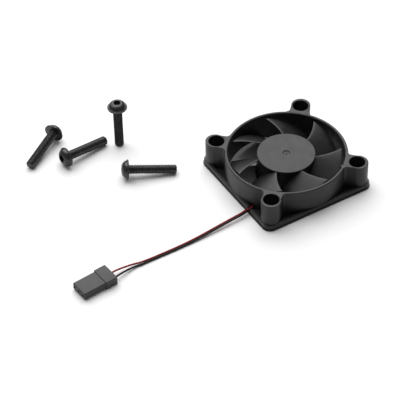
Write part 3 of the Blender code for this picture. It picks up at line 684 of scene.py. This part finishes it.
def make_light():
    """A white room and one broad softbox, high up behind the fan and slightly left as the camera sees it."""
    world = bpy.data.worlds.new("studio")
    world.use_nodes = True
    background = world.node_tree.nodes["Background"]
    background.inputs["Color"].default_value = (1.0, 1.0, 1.0, 1.0)
    background.inputs["Strength"].default_value = ROOM_BRIGHTNESS
    bpy.context.scene.world = world
    data = bpy.data.lights.new("softbox", "AREA")
    data.shape = "DISK"
    data.size = SOFTBOX_DIAMETER
    data.energy = SOFTBOX_WATTS
    softbox = bpy.data.objects.new("softbox", data)
    softbox.location = SOFTBOX_PLACE
    aim = Vector(SOFTBOX_TARGET) - softbox.location
    softbox.rotation_euler = aim.to_track_quat("-Z", "Y").to_euler()
    bpy.context.scene.collection.objects.link(softbox)
    bpy.context.scene.view_settings.view_transform = "Standard"


def make_floor(materials):
    bm = bmesh.new()
    bmesh.ops.create_grid(bm, x_segments=2, y_segments=2, size=2.0)
    floor = new_object("floor", bm)
    floor.data.materials.append(materials["floor"])


# --- Leads ---


def smooth_route(points, step):
    """Points about one step apart on a smooth curve through the given points, in order."""
    nodes = [Vector(point) for point in points]
    nodes = [2 * nodes[0] - nodes[1]] + nodes + [2 * nodes[-1] - nodes[-2]]
    route = []
    for index in range(1, len(nodes) - 2):
        before, start, end, after = nodes[index - 1 : index + 3]
        count = max(1, round((end - start).length / step))
        for part in range(count):
            t = part / count
            curve = (
                2 * start
                + (end - before) * t
                + (2 * before - 5 * start + 4 * end - after) * t**2
                + (3 * start - before - 3 * end + after) * t**3
            )
            route.append(0.5 * curve)
    route.append(nodes[-2])
    return route


def wire(name, route, material, slot, *nodes):
    curve = bpy.data.curves.new(name, "CURVE")
    curve.dimensions = "3D"
    curve.bevel_depth = LEAD_DIAMETER / 2
    curve.bevel_resolution = 5
    curve.use_fill_caps = True
    spline = curve.splines.new("POLY")
    spline.points.add(len(route) - 1)
    for target, point in zip(spline.points, route):
        target.co = (*point, 1.0)
    spline.use_smooth = True
    curve.materials.append(material)
    obj = bpy.data.objects.new(name, curve)
    bpy.context.scene.collection.objects.link(obj)
    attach(obj, "frame")
    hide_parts(*nodes)
    return obj


def lead_route(side, ending):
    """One lead's route. side is -1 for the red lead and 1 for the black one."""
    pair = [(x * MM + side * LEAD_OFFSET, y * MM, z * MM) for x, y, z in PAIR_ROUTE]
    return smooth_route(pair + [(x * MM, y * MM, z * MM) for x, y, z in ending], LEAD_STEP)


def tail_route(side):
    """The lead inside the fan: along its strut's channel, up through the notch, and on to its exit."""
    outward = Vector((math.cos(LEAD_STRUT_ANGLE), math.sin(LEAD_STRUT_ANGLE), 0))
    across = Vector((-outward.y, outward.x, 0))
    height = CHANNEL_FLOOR + LEAD_DIAMETER / 2 + 0.05 * MM
    points = []
    for distance in TAIL_STOPS:
        points.append(outward * distance + across * side * LEAD_OFFSET + Vector((0, 0, height)))
    for x, y, z in (NOTCH_APPROACH, NOTCH_EXIT):
        points.append(Vector((NOTCH_X + x + side * LEAD_OFFSET, y, z)))
    return smooth_route(points, LEAD_STEP)


def make_leads(materials):
    for colour, side, ending in (("red", -1, RED_END), ("black", 1, BLACK_END)):
        slot = f"{colour}_insulation"
        route = lead_route(side, ending)
        lead = wire(f"{colour}_lead", route, materials[colour], slot, f"{colour}_wire")
        wire(f"{colour}_inner_lead", tail_route(side), materials[colour], slot, f"{colour}_lead_tail")


# --- Plug ---


def plug_section(half_width, bottom, top, start, end, softness):
    """A rounded block along Y, with eased ends."""
    middle = 0.5 * (bottom + top)
    half_height = 0.5 * (top - bottom)

    def outline(offset):
        return rounded_rectangle(half_width + offset, half_height + offset, softness + offset, 4)

    profile = softened(
        (
            (-softness, start, 0),
            (0, start, softness),
            (0, end, softness),
            (-softness, end, 0),
        )
    )
    # Just short of the full inset, so that the outline's corners never shrink to nothing
    bm = lofted(outline, [(min(0.0, offset) * 0.999, height) for offset, height in profile])
    upright = Matrix.Translation((0, 0, middle)) @ Matrix.Rotation(-math.pi / 2, 4, "X")
    bmesh.ops.transform(bm, matrix=upright, verts=bm.verts)
    return bm


def square_way(x, half, middle, start, end):
    """A square cutter along Y, for one of the plug's ways."""
    bm = bmesh.new()
    bmesh.ops.create_cube(bm, size=1.0)
    size = Matrix.Diagonal((2 * half, end - start, 2 * half, 1.0))
    place = Matrix.Translation((x, 0.5 * (start + end), middle))
    bmesh.ops.transform(bm, matrix=place @ size, verts=bm.verts)
    return bm


def make_plug(materials):
    half_length = PLUG_LENGTH / 2
    half_width = PLUG_WIDTH / 2
    step = half_length - PLUG_REAR_LENGTH
    rear = plug_section(half_width, 0, PLUG_REAR_HEIGHT, step, half_length, PLUG_SOFTNESS)
    housing = new_object("plug", rear)
    front = plug_section(
        half_width - PLUG_SIDE_INSET,
        PLUG_FRONT_INSET,
        PLUG_REAR_HEIGHT - PLUG_FRONT_INSET,
        -half_length,
        step + OVERLAP,
        PLUG_FRONT_SOFTNESS,
    )
    unite(housing, front)
    middle = PLUG_REAR_HEIGHT / 2
    cavity_start = PLUG_FRONT_WALL - half_length
    socket_end = 2 * PLUG_FRONT_WALL - half_length
    cavities = []
    sockets = []
    for way in (-1, 0, 1):
        x = way * PLUG_PITCH
        cavities.append(square_way(x, CAVITY_SIDE / 2, middle, cavity_start, half_length + OVERLAP))
        sockets.append(square_way(x, SOCKET_SIDE / 2, middle, -half_length - OVERLAP, socket_end))
    cut(housing, joined(cavities))
    cut(housing, joined(sockets))
    placing = Matrix.Translation((*PLUG_CENTRE, FLOOR_CLEARANCE)) @ Matrix.Rotation(PLUG_TURN, 4, "Z")
    housing.data.transform(placing)
    return finish_piece(housing, "plug_shell", materials["plug"], "frame", "plug_plastic", "plug_housing")


# --- Frame moulding ---


def boss_places():
    half = HOLE_SPACING / 2
    return [(half, half), (-half, half), (-half, -half), (half, -half)]


def base_outline(offset):
    return rounded_rectangle(BASE_HALF + offset, BASE_HALF + offset, BASE_CORNER + offset, 16)


def web_outline(offset):
    """The web between a boss and the ring, along +X: straight sides, then a concave fillet into the ring."""
    boss_distance = HOLE_SPACING / math.sqrt(2)
    fillet_y = WEB_HALF_WIDTH + WEB_FILLET
    fillet_x = math.sqrt((RING_OUTER + WEB_FILLET) ** 2 - fillet_y**2)
    towards_ring = math.atan2(-fillet_y, -fillet_x)
    upper = arc((fillet_x, fillet_y), WEB_FILLET - offset, -math.pi / 2, towards_ring, 12)
    upper.append((RING_INNER - OVERLAP, upper[-1][1]))
    outline = [(boss_distance, WEB_HALF_WIDTH + offset)] + upper
    return outline + [(x, -y) for x, y in reversed(outline)]


def base_skin():
    """The base's outer skin: a proud bottom lip, a fine groove over it, and a rim with an eased top edge."""
    groove_top = LIP_HEIGHT + GROOVE_HEIGHT
    profile = softened(
        (
            (LIP_PROUD - LIP_CHAMFER, 0, 0),
            (LIP_PROUD, LIP_CHAMFER, FINE_SOFTNESS),
            (LIP_PROUD, LIP_HEIGHT, LIP_SOFTNESS),
            (-GROOVE_DEPTH, LIP_HEIGHT, GROOVE_SOFTNESS),
            (-GROOVE_DEPTH, groove_top, GROOVE_SOFTNESS),
            (0, groove_top, FINE_SOFTNESS),
            (0, RIM_HEIGHT, RIM_SOFTNESS),
            (-RIM_WALL - OVERLAP, RIM_HEIGHT, 0),
        )
    )
    return lofted(base_outline, profile)


def pocket_space():
    """The space inside the rim, with a fillet at the floor and an eased edge at the top."""
    profile = softened(
        (
            (-RIM_WALL - POCKET_SOFTNESS, FLOOR, 0),
            (-RIM_WALL, FLOOR, POCKET_FILLET),
            (-RIM_WALL, RIM_HEIGHT, POCKET_SOFTNESS),
            (-RIM_WALL + POCKET_MOUTH, RIM_HEIGHT, 0),
            (-RIM_WALL + POCKET_MOUTH, RIM_HEIGHT + OVERLAP, 0),
        )
    )
    return lofted(base_outline, profile)


def web(angle):
    """The web out to the boss at this angle, with an eased top edge."""
    top = (
        (0, WEB_START, 0),
        (0, WEB_TOP, WEB_SOFTNESS),
        (-WEB_TOP_INSET, WEB_TOP, 0),
    )
    return moved(lofted(web_outline, softened(top)), angle=angle)


def boss(x, y, angle):
    """The boss round the hole at x, y. It sits a little further out than its hole."""
    profile = softened(
        (
            (0, BOSS_START, 0),
            (BOSS_RADIUS, BOSS_START, 0),
            (BOSS_RADIUS, BOSS_HEIGHT, BOSS_SOFTNESS),
            (0, BOSS_HEIGHT, 0),
        )
    )
    reach = 1 + BOSS_REACH / math.hypot(x, y)
    return moved(turned(profile, BOSS_SEGMENTS), (x * reach, y * reach, 0), angle)


def boss_hole(x, y, angle):
    """The through hole's space, with a small chamfer at each mouth."""
    profile = softened(
        (
            (0, -OVERLAP, 0),
            (HOLE_RADIUS + HOLE_MOUTH, -OVERLAP, 0),
            (HOLE_RADIUS + HOLE_MOUTH, 0, 0),
            (HOLE_RADIUS, HOLE_MOUTH, 0.05 * MM),
            (HOLE_RADIUS, BOSS_HEIGHT - HOLE_MOUTH, 0.05 * MM),
            (HOLE_RADIUS + HOLE_MOUTH, BOSS_HEIGHT, 0),
            (HOLE_RADIUS + HOLE_MOUTH, BOSS_HEIGHT + OVERLAP, 0),
            (0, BOSS_HEIGHT + OVERLAP, 0),
        )
    )
    return moved(turned(profile, BOSS_SEGMENTS), (x, y, 0), angle)


def duct_space():
    """The duct, with an eased lower edge and a top edge that rounds over into the ring's own."""
    profile = softened(
        (
            (0, -OVERLAP, 0),
            (RING_INNER + DUCT_BOTTOM_EDGE, -OVERLAP, 0),
            (RING_INNER + DUCT_BOTTOM_EDGE, 0, 0),
            (RING_INNER, DUCT_BOTTOM_EDGE, 0.12 * MM),
            (RING_INNER, RING_HEIGHT + DUCT_CLEARANCE, RING_SOFTNESS),
            (RING_INNER + DUCT_TOP_EDGE, RING_HEIGHT + 10 * DUCT_CLEARANCE, 0),
            (RING_INNER + DUCT_TOP_EDGE, BOSS_HEIGHT + OVERLAP, 0),
            (0, BOSS_HEIGHT + OVERLAP, 0),
        ),
        steps=6,
    )
    return turned(profile, RING_SEGMENTS)


def make_frame(materials):
    frame_piece = new_object("frame_moulding", base_skin())
    cut(frame_piece, pocket_space())
    ring = softened(
        (
            (0, RING_START, 0),
            (RING_OUTER, RING_START, 0),
            (RING_OUTER, RING_HEIGHT, RING_SOFTNESS),
            (0, RING_HEIGHT, 0),
        ),
        steps=6,
    )
    unite(frame_piece, turned(ring, RING_SEGMENTS))
    places = [(x, y, math.atan2(y, x)) for x, y in boss_places()]
    unite(frame_piece, joined([web(angle) for _, _, angle in places]))
    unite(frame_piece, joined([boss(*place) for place in places]))
    cut(frame_piece, joined([boss_hole(*place) for place in places]))
    cut(frame_piece, duct_space())
    add_motor_seat(frame_piece)
    material = materials["frame"]
    return finish_piece(frame_piece, "frame_moulding", material, "frame", "frame_plastic", "fan_frame")


def add_motor_seat(frame_piece):
    """The motor's seat, the struts that carry it, and the channel and notch that the leads leave by."""
    seat = softened(
        (
            (TUBE_OUTER, LABEL_DEPTH, 0),
            (LABEL_RADIUS, LABEL_DEPTH, 0),
            (LABEL_RADIUS, 0, 0.05 * MM),
            (SEAT_RADIUS, 0, SEAT_SOFTNESS),
            (SEAT_RADIUS, SEAT_WALL_TOP, SEAT_SOFTNESS),
            (SEAT_WALL_INNER, SEAT_WALL_TOP, SEAT_SOFTNESS),
            (SEAT_WALL_INNER, SEAT_TOP, 0),
            (TUBE_OUTER, SEAT_TOP, 0),
        )
    )
    unite(frame_piece, turned(seat, SEAT_SEGMENTS))
    start = 0.5 * (SEAT_WALL_INNER + SEAT_RADIUS)
    end = 0.5 * (RING_INNER + RING_OUTER)
    for angle in STRUT_ANGLES:
        section = section_box(STRUT_HALF_WIDTH, STRUT_BOTTOM, SEAT_TOP, 0.3 * MM)
        unite(frame_piece, moved(bar(section, start, end), angle=angle))
    section = section_box(LEAD_STRUT_HALF_WIDTH, STRUT_BOTTOM, LEAD_STRUT_TOP, 0.2 * MM)
    unite(frame_piece, moved(bar(section, start, end), angle=LEAD_STRUT_ANGLE))
    section = section_box(CHANNEL_HALF_WIDTH, CHANNEL_FLOOR, RIM_HEIGHT + 0.1 * MM, 0.2 * MM)
    cut(frame_piece, moved(bar(section, CHANNEL_START, RING_OUTER + 0.2 * MM), angle=LEAD_STRUT_ANGLE))
    notch = section_box(NOTCH_HALF_WIDTH, NOTCH_FLOOR, RIM_HEIGHT + 2 * MM, 0.25 * MM)
    notch_piece = bar(notch, BASE_HALF - RIM_WALL - 0.5 * MM, BASE_HALF + OVERLAP)
    cut(frame_piece, moved(notch_piece, (NOTCH_X, 0, 0), -math.pi / 2))


# --- Impeller ---


def blade():
    """One blade: closed sections from inside the hub to the tip, with a flare where it meets the hub."""
    stations = [
        BLADE_ROOT + (BLADE_TIP - BLADE_ROOT) * (row / (BLADE_ROWS + 1)) ** 1.2 for row in range(BLADE_ROWS)
    ]
    stations += [BLADE_TIP - BLADE_TIP_SOFTNESS * (1 - step) for step in (0.0, 0.35, 0.65, 0.87, 0.97)]
    stations.sort()
    bm = bmesh.new()
    loops = []
    for radius in stations:
        span = (radius - BLADE_ROOT) / (BLADE_TIP - BLADE_ROOT)
        lead = BLADE_PHASE - BLADE_SWEEP * (1 - span)
        chord = BLADE_ROOT_CHORD + (BLADE_TIP_CHORD - BLADE_ROOT_CHORD) * span
        top = BLADE_ROOT_TOP + (BLADE_TIP_TOP - BLADE_ROOT_TOP) * span
        to_tip = max(0.0, 1 - (BLADE_TIP - radius) / BLADE_TIP_SOFTNESS)
        flare = ROOT_FLARE * math.exp(-max(0.0, radius - HUB_RADIUS) / ROOT_FLARE_REACH)
        half = 0.5 * (BLADE_THICKNESS + flare) * math.sqrt(max(0.0, 1 - to_tip**2))
        over = []
        under = []
        for column in range(BLADE_COLUMNS + 1):
            back = 0.5 * (1 - math.cos(math.pi * column / BLADE_COLUMNS))
            nose = min(1.0, min(back, 1 - back) / BLADE_NOSE)
            belly = BLADE_EDGE_SHARE + (1 - BLADE_EDGE_SHARE) * math.sin(math.pi * back) ** 0.7
            thick = half * belly * math.sqrt(1 - (1 - nose) ** 2)
            height = top - (top - BLADE_BOTTOM) * back**BLADE_CAMBER
            angle = lead - chord * back
            x = radius * math.cos(angle)
            y = radius * math.sin(angle)
            over.append((x, y, height + thick))
            under.append((x, y, height - thick))
        outline = over + under[-2:0:-1]
        loops.append([bm.verts.new(point) for point in outline])
    for lower, upper in zip(loops, loops[1:]):
        bridge(bm, lower, upper)
    bm.faces.new(loops[0])
    bm.faces.new(loops[-1])
    return bm


def make_impeller(materials):
    nub_top = HUB_TOP - 0.3 * DIMPLE_DEPTH
    hub = softened(
        (
            (0, SHAFT_BORE_TOP, 0),
            (SHAFT_BORE, SHAFT_BORE_TOP, 0),
            (SHAFT_BORE, HUB_TOP - HUB_PLATE, 0),
            (HUB_INNER, HUB_TOP - HUB_PLATE, 0.2 * MM),
            (HUB_INNER, HUB_BOTTOM, 0.1 * MM),
            (HUB_RADIUS, HUB_BOTTOM, 0.15 * MM),
            (HUB_RADIUS, HUB_TOP, 0.35 * MM),
            (DIMPLE_RADIUS + DIMPLE_WALL, HUB_TOP, 0.08 * MM),
            (DIMPLE_RADIUS, HUB_TOP - DIMPLE_DEPTH, 0.08 * MM),
            (NUB_RADIUS, HUB_TOP - DIMPLE_DEPTH, 0.05 * MM),
            (NUB_RADIUS, nub_top, 0.05 * MM),
            (0, nub_top, 0),
        ),
        steps=5,
    )
    impeller = new_object("impeller_moulding", turned(hub, HUB_SEGMENTS))
    blades = [moved(blade(), angle=2 * math.pi * index / BLADES) for index in range(BLADES)]
    unite(impeller, joined(blades))
    material = materials["rotor"]
    return finish_piece(impeller, "impeller_moulding", material, "impeller", "rotor_plastic", "impeller")


# --- Screws ---


def thread_radius(angle, height):
    """The shank's radius: a V thread with flat crests, a chamfered tip and a run-out under the head."""
    phase = (height / THREAD_PITCH - angle / (2 * math.pi)) % 1.0
    ridge = min(1.0, max(0.0, THREAD_CREST - abs(4 * phase - 2) * THREAD_STEEPNESS))
    fade = min(1.0, (SHANK_LENGTH - height) / THREAD_RUNOUT)
    radius = SHANK_RADIUS - THREAD_DEPTH * (1 - ridge) * fade
    return min(radius, SHANK_RADIUS - SHANK_CHAMFER + height)


def threaded_shank():
    """The threaded shank along Z, its tip at the origin, open at both ends. Its rows follow the helix."""
    turns = math.ceil(SHANK_LENGTH / THREAD_PITCH) + 1
    bm = bmesh.new()
    rows = []
    for row in range(-ROWS_PER_TURN, turns * ROWS_PER_TURN + 1):
        ring = []
        for step in range(SCREW_SEGMENTS):
            angle = 2 * math.pi * step / SCREW_SEGMENTS
            height = THREAD_PITCH * (row / ROWS_PER_TURN + step / SCREW_SEGMENTS)
            height = min(SHANK_LENGTH, max(0.0, height))
            radius = thread_radius(angle, height)
            ring.append(bm.verts.new((radius * math.cos(angle), radius * math.sin(angle), height)))
        rows.append(ring)
    for index in range(len(rows) - 1 - ROWS_PER_TURN):
        lower = rows[index]
        upper = rows[index + 1]
        for step in range(SCREW_SEGMENTS - 1):
            bm.faces.new((lower[step], lower[step + 1], upper[step + 1], upper[step]))
        seam_lower = rows[index + ROWS_PER_TURN][0]
        seam_upper = rows[index + ROWS_PER_TURN + 1][0]
        bm.faces.new((lower[-1], seam_lower, seam_upper, upper[-1]))
    bmesh.ops.remove_doubles(bm, verts=bm.verts, dist=1e-7)
    loose = [vert for vert in bm.verts if not vert.link_faces]
    bmesh.ops.delete(bm, geom=loose, context="VERTS")
    return bm


def screw_head():
    """The flange and the button head over it, on a stub that reaches down into the shank."""
    head = SHANK_LENGTH
    stub = SHANK_RADIUS - 0.3 * MM
    dome_start = FLANGE_RADIUS - 0.3 * MM
    profile = softened(
        (
            (0, head - 0.3 * MM, 0),
            (stub, head - 0.3 * MM, 0),
            (stub, head, 0),
            (FLANGE_RADIUS, head, 0.08 * MM),
            (FLANGE_RADIUS, head + FLANGE_THICKNESS, 0.12 * MM),
            (dome_start, head + FLANGE_THICKNESS + 0.06 * MM, 0.06 * MM),
            (dome_start - 0.08 * MM, head + 0.9 * MM, 0.25 * MM),
            (dome_start - 0.6 * MM, head + 1.65 * MM, 0.45 * MM),
            (FLANGE_RADIUS - 1.7 * MM, head + HEAD_HEIGHT, 0.25 * MM),
            (0, head + HEAD_HEIGHT, 0),
        ),
        steps=6,
    )
    return turned(profile, SCREW_SEGMENTS * 2)


def hex_space():
    """The socket's space: a hexagonal bore with a conical bottom."""
    corner = HEX_FLATS / math.sqrt(3)
    top = SHANK_LENGTH + HEAD_HEIGHT
    bottom = top - HEX_DEPTH

    def outline(offset):
        return circle(corner + offset, 6)

    profile = (
        (-corner * 0.9, bottom - 0.25 * MM),
        (-0.02 * MM, bottom),
        (0, bottom + 0.02 * MM),
        (0, top + OVERLAP),
    )
    return lofted(outline, profile)


def closed(obj):
    """Fills the mesh's open ends, so that it is one solid."""
    bm = bmesh.new()
    bm.from_mesh(obj.data)
    bmesh.ops.holes_fill(bm, edges=[edge for edge in bm.edges if edge.is_boundary])
    bmesh.ops.recalc_face_normals(bm, faces=bm.faces)
    bm.to_mesh(obj.data)
    bm.free()


def make_screws(materials):
    """The four screws. A lying one rests on its flange's edge and its tip's edge, so it leans a little."""
    screw = new_object("screw", threaded_shank())
    closed(screw)
    unite(screw, screw_head())
    cut(screw, hex_space())
    lean = math.atan((FLANGE_RADIUS - SHANK_RADIUS) / (SHANK_LENGTH + 0.25 * MM - SHANK_CHAMFER))
    tip_height = SHANK_RADIUS * math.cos(lean) - SHANK_CHAMFER * math.sin(lean)
    places = {}
    for name, (x, y, turn) in LYING_SCREWS.items():
        places[name] = (x, y, FLOOR_CLEARANCE + tip_height, math.pi / 2 - lean, turn)
    name, x, y = STANDING_SCREW
    places[name] = (x, y, FLOOR_CLEARANCE, 0.0, 0.0)
    for name, (x, y, height, tip_over, turn) in sorted(places.items()):
        piece = bpy.data.objects.new(f"threaded_{name}", screw.data.copy())
        bpy.context.scene.collection.objects.link(piece)
        rotation = Euler((0, tip_over, turn)).to_matrix().to_4x4()
        piece.data.transform(Matrix.Translation((x, y, height)) @ rotation)
        finish_piece(piece, f"threaded_{name}", materials["black_oxide"], name, "black_oxide_steel", name)
    bpy.data.objects.remove(screw, do_unlink=True)


# --- Label, and the CAD nodes that keep their shape ---


def make_label(materials):
    radius = LABEL_RADIUS - LABEL_GAP
    bottom = FLOOR_CLEARANCE
    top = LABEL_DEPTH - 0.05 * MM
    profile = softened(
        (
            (0, bottom, 0),
            (radius, bottom, LABEL_SOFTNESS),
            (radius, top, LABEL_SOFTNESS),
            (0, top, 0),
        )
    )
    label = new_object("label_disc", turned(profile, SEAT_SEGMENTS))
    finish_piece(label, "label_disc", materials["label"], "frame", "label_film", "base_label")


def finish_cad_nodes(materials):
    """Gives each CAD node that no new piece replaces its material."""
    finishes = {
        "steel": ["shaft", "rotor_yoke", "retaining_clip", "preload_spring"],
        "brass": ["shaft_bush", "bearing_tube"],
        "ferrite": ["rotor_magnet"],
        "lamination": ["stator_core"],
        "insulator": ["lower_insulator", "upper_insulator"],
        "copper_x": ["coil_1", "coil_3"],
        "copper_y": ["coil_2", "coil_4"],
        "board": ["circuit_board"],
        "chip": ["driver_chip", "resistor"],
        "ceramic": ["capacitor"],
        "solder": ["red_solder_joint", "black_solder_joint"],
        "rubber": ["bearing_cap"],
        "tin": ["red_contact", "black_contact"],
    }
    for place in ("lower", "upper"):
        for piece in ("inner_race", "outer_race", "balls"):
            finishes["steel"].append(f"{place}_bearing_{piece}")
    for key, nodes in finishes.items():
        for node in nodes:
            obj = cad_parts[node]
            for slot in obj.material_slots:
                slot.material = materials[key]


make_camera()
materials = make_materials()
plug = make_plug(materials)
make_leads(materials)
make_light()
make_floor(materials)
make_frame(materials)
make_impeller(materials)
make_screws(materials)
make_label(materials)
finish_cad_nodes(materials)
